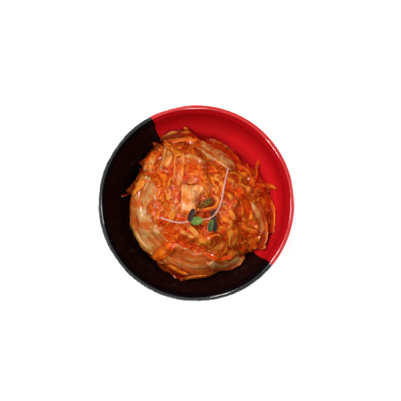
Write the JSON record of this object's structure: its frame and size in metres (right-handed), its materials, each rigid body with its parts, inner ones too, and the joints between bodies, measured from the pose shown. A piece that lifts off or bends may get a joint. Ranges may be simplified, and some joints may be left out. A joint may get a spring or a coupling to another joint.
{
  "type": "kimchi in a bowl",
  "caption": "Chopped cabbage kimchi heaped in a small round red and black bowl on a foot ring, garnished with microgreen sprouts laid across the top.",
  "frame": {"origin": "centre of the foot ring, on the face that it rests on", "axes": "+Z up out of the bowl's mouth; seen from above with +Y upward, the long sprout's stem runs along the right of the heap's middle"},
  "size_m": [0.115, 0.115, 0.0641],
  "materials": {
    "bowl_lacquer": "gloss",
    "kimchi": "gloss",
    "sprout_green": "satin"
  },
  "bodies": {
    "root": {"bowl": "bowl_lacquer", "kimchi_heap": "kimchi", "sprout_long": "sprout_green", "sprout_short": "sprout_green"}
  },
  "joints": []
}
